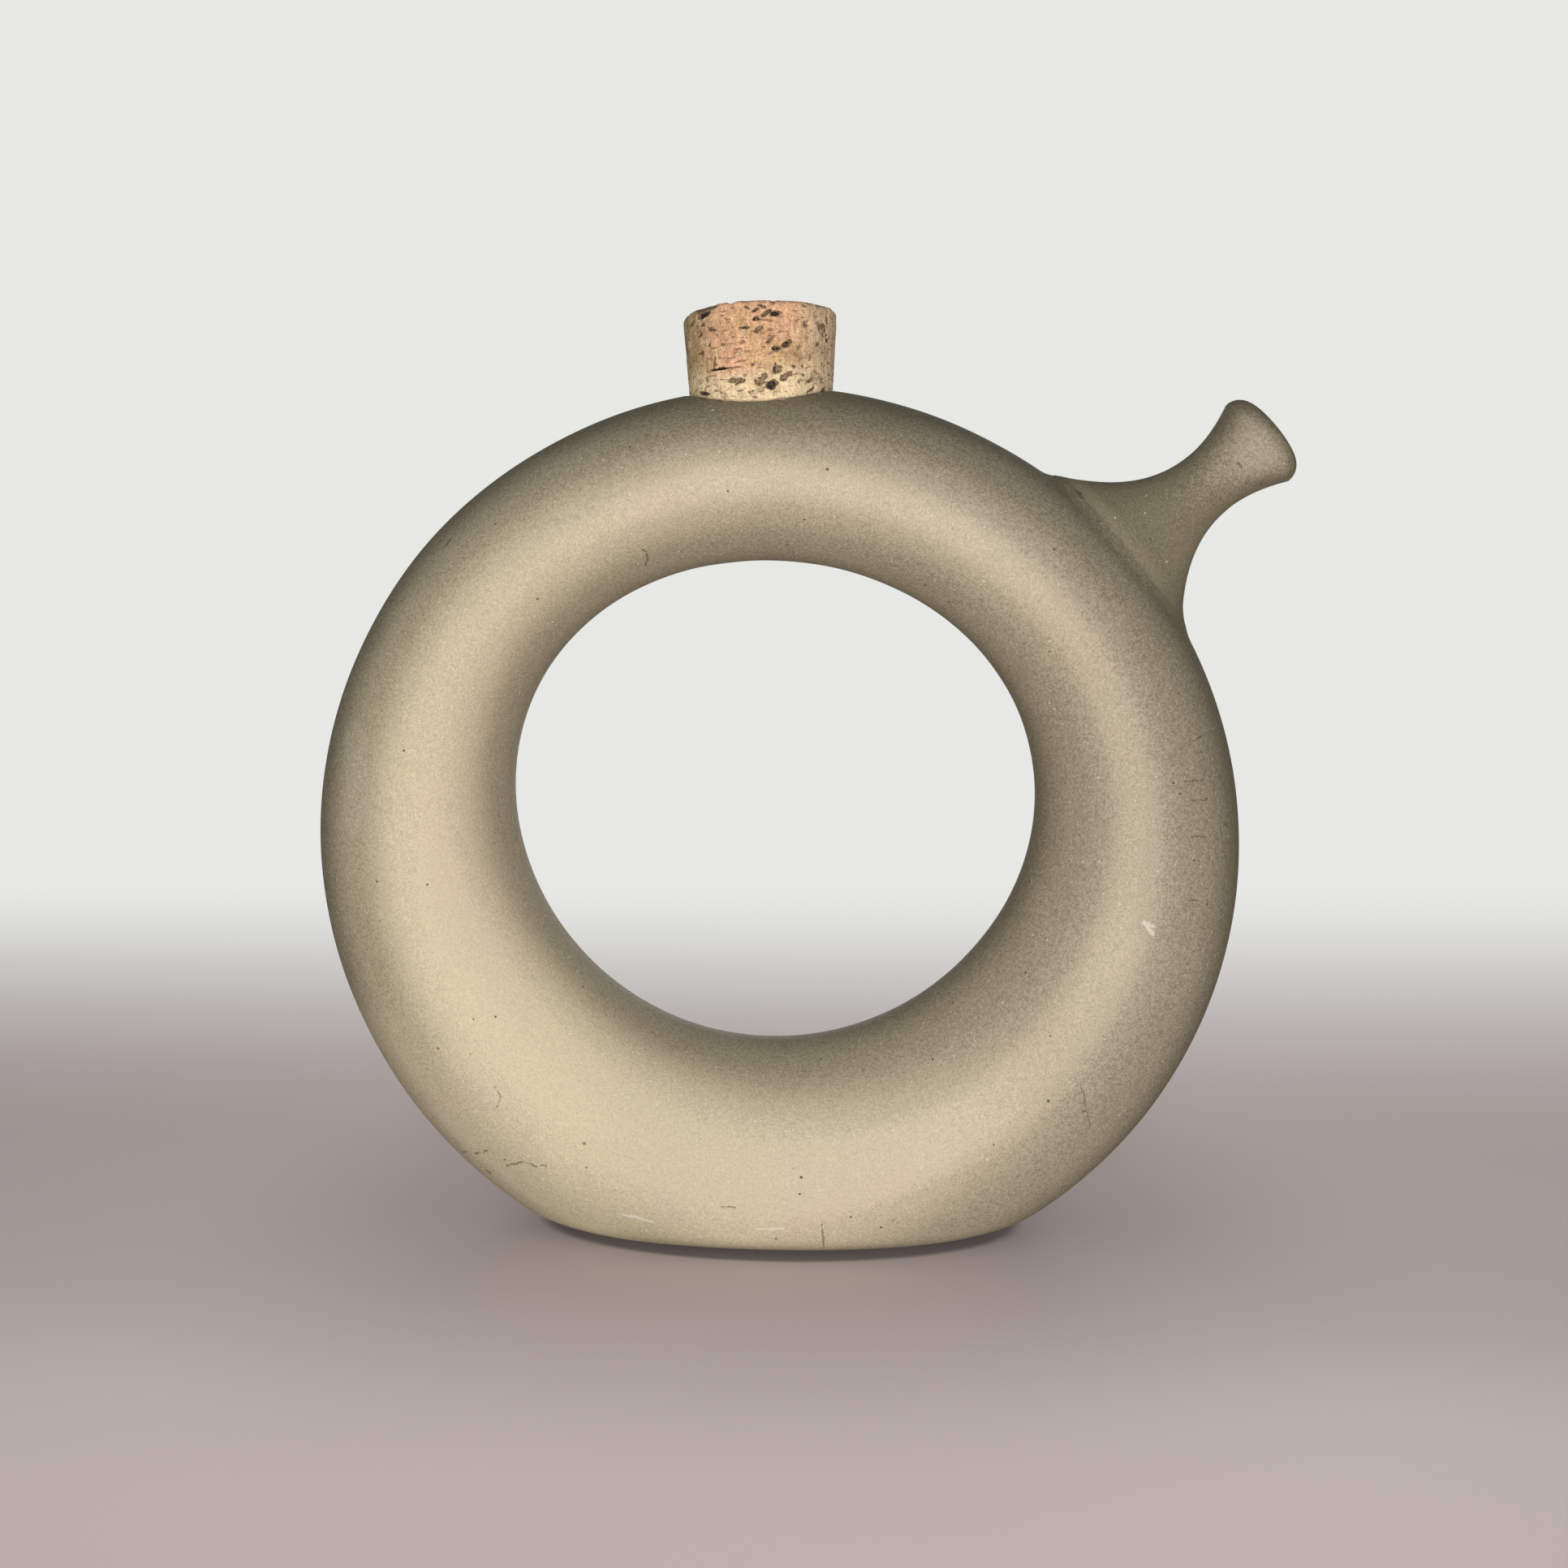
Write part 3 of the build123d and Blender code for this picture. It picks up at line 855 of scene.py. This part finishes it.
def stoneware():
    """Matt stoneware, cream on the crest of its front and back as a painted highlight, with grainy brown
    painted shade at its sides.
    """
    s = Shader("stoneware")
    grain = s.noise(GRAIN_SIZE, 3, 0.65)
    fine = s.noise(FINE_SIZE, 3, 0.7)
    along, across = along_spout(s)

    # The painted shade thickens towards the top and the right, with a cloudy edge and a speckle of its own
    rise = s.times(s.x, RISE_SLOPE, s.times(s.z, RISE_SLOPE, -RISE_LEVEL))
    rise = s.math("ADD", rise, s.about_zero(s.noise(CLOUD_SIZE, 2), CLOUD_REACH))
    speckle = s.math("ADD", s.about_zero(grain, GRAIN_REACH), s.about_zero(fine, FINE_REACH))
    painted_shade = painted_shade_share(s, rise, along)
    painted_shade = s.times(speckle, s.times(painted_shade, 0.12, 0.20), painted_shade)

    # Cream, yellower low on the left and greyer towards the spout, a painted tint of the light that falls
    # on it
    grey = s.ramp(s.times(s.x, 0.9, s.times(s.z, 0.25)), -0.04, 0.12)
    cream = s.mix(grey, CREAM_LEFT, CREAM_RIGHT)
    cream = s.mix(s.times(s.ramp(s.noise(BLUSH_SIZE, 2), 0.46, 0.64), 0.55), cream, CREAM_BLUSH)
    colour = s.mix(painted_shade, cream, s.mix(grey, SHADE_BROWN_LEFT, SHADE_BROWN_RIGHT))

    # Speckle, most where the painted shade is full, a pale ridge round the spout's foot painted as a
    # highlight, a darker base, and a lighter underside of the spout
    light = s.times(speckle, s.times(s.ramp(painted_shade, 0.3, 1.0), -0.34, -0.26), 1.0)
    # Painted highlight: a pale band along the ridge round the spout's foot
    ridge = s.product(s.ramp(across, *RIDGE_ACROSS), s.between(along, *RIDGE_ALONG))
    lowest = s.product(s.ramp(s.z, *BASE_BY_HEIGHT), s.ramp(s.x, *BASE_BY_PLACE))
    under = s.product(s.ramp(across, *UNDER_ACROSS), s.between(along, *UNDER_ALONG))
    for mask, amount in ((ridge, 0.32), (lowest, -0.07), (under, 0.16)):
        light = s.times(mask, amount, light)
    colour = s.tint(colour, light)

    # Marks: broken hairlines, scratches, rubbed patches, pinholes and pale specks
    waver = s.node("ShaderNodeTexNoise", Vector=s.place, Scale=WAVER_SCALE, Detail=2.0).outputs["Color"]
    shaken = s.vector_math("MULTIPLY_ADD", waver, (WAVER_REACH,) * 3, s.place)
    shaken = s.vector_math("SUBTRACT", shaken, (WAVER_REACH / 2,) * 3)
    hairlines = s.largest([s.stroke(*mark, shaken) for mark in DARK_MARKS])
    hairlines = s.product(hairlines, s.ramp(fine, *HAIRLINE_BREAKS), 0.72)
    scratches = s.times(s.largest([s.stroke(*mark, shaken) for mark in PALE_MARKS]), 0.70)
    rubbed = s.largest([s.stroke(*mark, s.place) for mark in RUBBED])
    rubbed = s.product(rubbed, s.ramp(fine, *RUBBED_BREAKS), 0.30)
    pinholes = s.largest([s.spots(*row) for row in PINHOLES])
    specks = s.times(s.largest([s.spots(*row) for row in SPECKS]), 0.75)
    colour = s.mix(s.times(s.largest([hairlines, pinholes]), 0.88), colour, PINHOLE_COLOUR)
    colour = s.mix(s.largest([scratches, rubbed, specks]), colour, SCRATCH_COLOUR)
    height = s.times(grain, GRAIN_HEIGHT)
    height = s.times(pinholes, -PINHOLE_DEPTH, s.times(fine, FINE_HEIGHT, height))
    s.set_surface(colour, s.times(fine, 0.22, 0.56), 0.35, height)
    return s.material


# Noises of the cork in metres, and how its streaks stand and its dashes lie
ZONE_SIZE = 0.009
BLOTCH_SIZE = 0.0024
STREAK_SIZE = 0.0011
DASH_SIZE = 0.0010
FRAY_SIZE = 0.0008
STREAK_STRETCH = (1.0, 1.0, 0.35)
DASH_STRETCH = (0.45, 0.45, 1.3)

# Bands in which its colours change, from none to full: by place from left to right and by height, in
# metres, with the waver of that height, and otherwise by a noise
GREEN_BY_PLACE = (-0.006, -0.015)
GREY_BY_PLACE = (0.007, 0.015)
CREAM_BY_HEIGHT = (0.2070, 0.2000)
CREAM_WAVER = 0.008
ORANGE_BY_ZONE = (0.36, 0.62)
HIGHLIGHT_BY_BLOTCH = (0.44, 0.34)
FRECKLE_BY_BLOTCH = (0.58, 0.68)
FRECKLE_BY_DASH = (0.60, 0.65)

# Bands of the depth of its pits, as a share, and how far fray and grain shift it
FRAY_BY_PIT = (0.02, 0.30)
RIM_BY_PIT = (0.16, 0.34)
INSIDE_BY_PIT = (0.40, 0.56)
DEEPEST_BY_PIT = (0.60, 0.85)
FRAY_SHIFT = 1.7
GRAIN_SHIFT = 0.9

# Relief in millimetres
BARK_HEIGHT = 0.22

# Colours of the cork, and of its pits from their rim inwards
CORK_TAN = (0.68, 0.42, 0.21)
CORK_ORANGE = (0.84, 0.49, 0.29)
CORK_GREEN = (0.44, 0.335, 0.165)
CORK_GREY = (0.72, 0.55, 0.345)
CORK_CREAM = (1.0, 0.80, 0.50)
CORK_HIGHLIGHT = (1.0, 0.76, 0.50)
CORK_FRECKLE = (0.28, 0.150, 0.075)
PIT_RIM = (0.100, 0.064, 0.036)
PIT_INSIDE = (0.42, 0.290, 0.165)
PIT_DEEPEST = (0.042, 0.028, 0.020)


def cork_bark():
    """Cork in tan and orange, paler low down, with fine grain, dark lenticels and pale flecks of painted
    highlight.
    """
    s = Shader("cork")
    zone = s.noise(ZONE_SIZE, 2)
    streak = s.noise(STREAK_SIZE, 3, 0.6, s.vector_math("MULTIPLY", s.place, STREAK_STRETCH))
    dash = s.noise(DASH_SIZE, 2, 0.5, s.vector_math("MULTIPLY", s.place, DASH_STRETCH))
    grain = s.noise(GRAIN_SIZE, 3, 0.65)
    blotch = s.noise(BLOTCH_SIZE, 3, 0.6)

    # Greener towards the left, greyer towards the right, cream at the foot of what shows, and pale flecks
    # of painted highlight
    low = s.math("ADD", s.z, s.about_zero(zone, CREAM_WAVER))
    colour = s.mix(s.ramp(zone, *ORANGE_BY_ZONE), CORK_TAN, CORK_ORANGE)
    for mask, amount, other in (
        (s.ramp(s.x, *GREEN_BY_PLACE), 0.80, CORK_GREEN),
        (s.ramp(s.x, *GREY_BY_PLACE), 0.75, CORK_GREY),
        (s.ramp(low, *CREAM_BY_HEIGHT), 0.85, CORK_CREAM),
        (s.ramp(blotch, *HIGHLIGHT_BY_BLOTCH), 0.45, CORK_HIGHLIGHT),
    ):
        colour = s.mix(s.times(mask, amount), colour, other)
    colour = s.tint(colour, s.times(streak, 1.20, 0.42))
    colour = s.tint(colour, s.times(grain, 2.00, 0.04))
    freckles = s.times(s.ramp(blotch, *FRECKLE_BY_BLOTCH), 0.50)
    dashes = s.times(s.ramp(dash, *FRECKLE_BY_DASH), 0.75)
    colour = s.mix(s.largest([freckles, dashes]), colour, CORK_FRECKLE)

    # Pits, whose frayed edge is dark, with a lighter floor unless they are deep
    pit = s.node("ShaderNodeAttribute", {"attribute_name": "pit"}).outputs["Fac"]
    fray = s.product(s.math("SUBTRACT", s.noise(FRAY_SIZE, 3, 0.6), 0.5), s.ramp(pit, *FRAY_BY_PIT))
    rough = s.times(s.math("SUBTRACT", grain, 0.5), GRAIN_SHIFT, s.times(fray, FRAY_SHIFT, pit))
    inside = s.mix(s.ramp(rough, *INSIDE_BY_PIT), PIT_RIM, PIT_INSIDE)
    inside = s.mix(s.ramp(rough, *DEEPEST_BY_PIT), inside, PIT_DEEPEST)
    colour = s.mix(s.ramp(rough, *RIM_BY_PIT), colour, inside)
    height = s.times(streak, BARK_HEIGHT, s.times(grain, BARK_HEIGHT))
    s.set_surface(colour, s.times(grain, 0.2, 0.68), 0.25, height)
    return s.material


clay = stoneware()
bark = cork_bark()
for piece, node, body, slot, material in (
    (front, "ring_front_half", "vase", "stoneware", clay),
    (back, "ring_back_half", "vase", "stoneware", clay),
    (spout, "spout", "vase", "stoneware", clay),
    (cork, "cork_stopper", "stopper", "cork", bark),
):
    piece.data.materials.append(material)
    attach(piece, body)
    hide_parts(node)

# Floor and background, and the shadow painted on the floor where it meets the base, by its half width and
# half depth
BACKGROUND = (0.80, 0.81, 0.78)
FLOOR_COLOUR = (0.66, 0.57, 0.56)
FLOOR_PLAIN = (0.48, 0.40, 0.39)
PAINTED_SHADOW_COLOUR = (0.10, 0.08, 0.08)
SHADOW_HALF_WIDTH = 0.0590
SHADOW_HALF_DEPTH = 0.0245
SHADOW_EDGE = (1.08, 0.92)
SHADOW_SHARE = 0.80
FLOOR_SIZE = 8.0
FLOOR_DROP = 0.0002

# Glow of the floor near the vase, and what is added away from it and in front of it
GLOW_NEAR = 0.04
GLOW_AWAY = 0.13
GLOW_FRONT = 0.10

# Bands in metres, by the distance away or from front to back: where the glow grows, and where the
# floor turns plain or to the colour of the background
GLOW_BY_DISTANCE = (0.045, 0.16)
GLOW_BY_FRONT = (-0.030, -0.095)
PLAIN_BY_FRONT = (-0.070, -0.190)
BACKGROUND_BY_BACK = (0.04, 0.42)
BACKGROUND_BY_DISTANCE = (0.35, 0.90)


def pale_floor():
    """Floor that takes light and shadow near the vase, with a painted contact shadow under the base, and
    fades to plain tones away from it.
    """
    s = Shader("floor")
    # Painted contact shadow: a dark oval on the floor under the base's edge
    under = s.math("POWER", s.math("MULTIPLY", s.x, 1 / SHADOW_HALF_WIDTH), 2.0)
    under = s.math("ADD", under, s.math("POWER", s.math("MULTIPLY", s.y, 1 / SHADOW_HALF_DEPTH), 2.0))
    painted_shadow = s.times(s.ramp(under, *SHADOW_EDGE), SHADOW_SHARE)
    s.link(s.mix(painted_shadow, FLOOR_COLOUR, PAINTED_SHADOW_COLOUR), "Base Color")
    s.surface.inputs["Roughness"].default_value = 0.9
    seen = s.node("ShaderNodeLightPath").outputs["Is Camera Ray"]
    away = s.math("SQRT", s.times(s.x, s.x, s.times(s.y, s.y)))

    # A faint glow of its own, for the camera alone, stands in for the light of the room
    strength = s.times(s.ramp(away, *GLOW_BY_DISTANCE), GLOW_AWAY, GLOW_NEAR)
    strength = s.times(s.ramp(s.y, *GLOW_BY_FRONT), GLOW_FRONT, strength)
    glow = s.node("ShaderNodeEmission", Color=(*FLOOR_COLOUR, 1), Strength=s.product(seen, strength))
    shown = s.node("ShaderNodeAddShader", _0=s.surface.outputs[0], _1=glow.outputs[0])

    # Plain floor in front, background behind and far away
    behind = s.largest([s.ramp(s.y, *BACKGROUND_BY_BACK), s.ramp(away, *BACKGROUND_BY_DISTANCE)])
    for mask, colour in ((s.ramp(s.y, *PLAIN_BY_FRONT), FLOOR_PLAIN), (behind, BACKGROUND)):
        plain = s.node("ShaderNodeEmission", Color=(*colour, 1), Strength=1.0)
        share = s.product(mask, seen)
        shown = s.node("ShaderNodeMixShader", _0=share, _1=shown.outputs[0], _2=plain.outputs[0])
    s.tree.links.new(shown.outputs[0], s.tree.nodes["Material Output"].inputs["Surface"])
    return s.material


bpy.ops.mesh.primitive_plane_add(size=FLOOR_SIZE, location=(0, 0, -FLOOR_DROP))
floor = bpy.context.object
floor.name = "floor"
floor.data.materials.append(pale_floor())

# Camera where the photograph was taken from, in millimetres and degrees
CAMERA_PLACE = (40.6, -371.2, 162.2)
CAMERA_YAW = math.radians(-5.7)
CAMERA_PITCH = math.radians(8.05)
CAMERA_ROLL = math.radians(-1.09)
CAMERA_LENS = 36.04
SENSOR = 36.0


def turned(x_axis, y_axis, z_axis, place):
    """Matrix of an object with these axes at a place in metres."""
    rows = [[x_axis[i], y_axis[i], z_axis[i]] for i in range(3)]
    return Matrix.Translation(place) @ Matrix(rows).to_4x4()


cos_pitch = math.cos(CAMERA_PITCH)
ahead = np.array([
    math.sin(CAMERA_YAW) * cos_pitch, math.cos(CAMERA_YAW) * cos_pitch, -math.sin(CAMERA_PITCH)
])
level = np.array([math.cos(CAMERA_YAW), -math.sin(CAMERA_YAW), 0.0])
upright = np.cross(level, ahead)
right = math.cos(CAMERA_ROLL) * level + math.sin(CAMERA_ROLL) * upright
up = math.cos(CAMERA_ROLL) * upright - math.sin(CAMERA_ROLL) * level
lens = bpy.data.cameras.new("camera")
lens.sensor_width = SENSOR
lens.lens = CAMERA_LENS
lens.clip_start = 0.01
camera = bpy.data.objects.new("camera", lens)
bpy.context.scene.collection.objects.link(camera)
camera.matrix_world = turned(right, up, -ahead, [c * MM for c in CAMERA_PLACE])
bpy.context.scene.camera = camera

# Lamps: what they face, and each one's name, place and size in metres, and power
LAMP_TARGET = (0, 0, 0.10)
LAMPS = (("key", (0.04, -0.42, 0.09), 0.20, 1.25), ("back", (0.10, 0.80, 0.14), 0.60, 2.1))


def soft_light(name, place, size, power):
    """Square lamp at a place in metres, unseen itself."""
    lamp = bpy.data.lights.new(name, "AREA")
    lamp.size = size
    lamp.energy = power
    made = bpy.data.objects.new(name, lamp)
    bpy.context.scene.collection.objects.link(made)
    z_axis = unit(np.array(place) - np.array(LAMP_TARGET))
    x_axis = unit(np.cross((0, 0, 1), z_axis))
    made.matrix_world = turned(x_axis, np.cross(z_axis, x_axis), z_axis, place)
    made.visible_camera = False


for lamp_row in LAMPS:
    soft_light(*lamp_row)

# World, a low even fill that the camera sees as the pale background
FILL = 0.24
world = bpy.data.worlds.new("world")
bpy.context.scene.world = world
world.use_nodes = True
tree = world.node_tree
fill = tree.nodes["Background"]
fill.inputs["Color"].default_value = (1, 1, 1, 1)
fill.inputs["Strength"].default_value = FILL
shown = new_node(tree, "ShaderNodeBackground", Color=(*BACKGROUND, 1), Strength=1.0)
path = new_node(tree, "ShaderNodeLightPath")
both = new_node(
    tree, "ShaderNodeMixShader", _0=path.outputs["Is Camera Ray"], _1=fill.outputs[0], _2=shown.outputs[0]
)
tree.links.new(both.outputs[0], tree.nodes["World Output"].inputs["Surface"])

bpy.context.scene.view_settings.view_transform = "Standard"
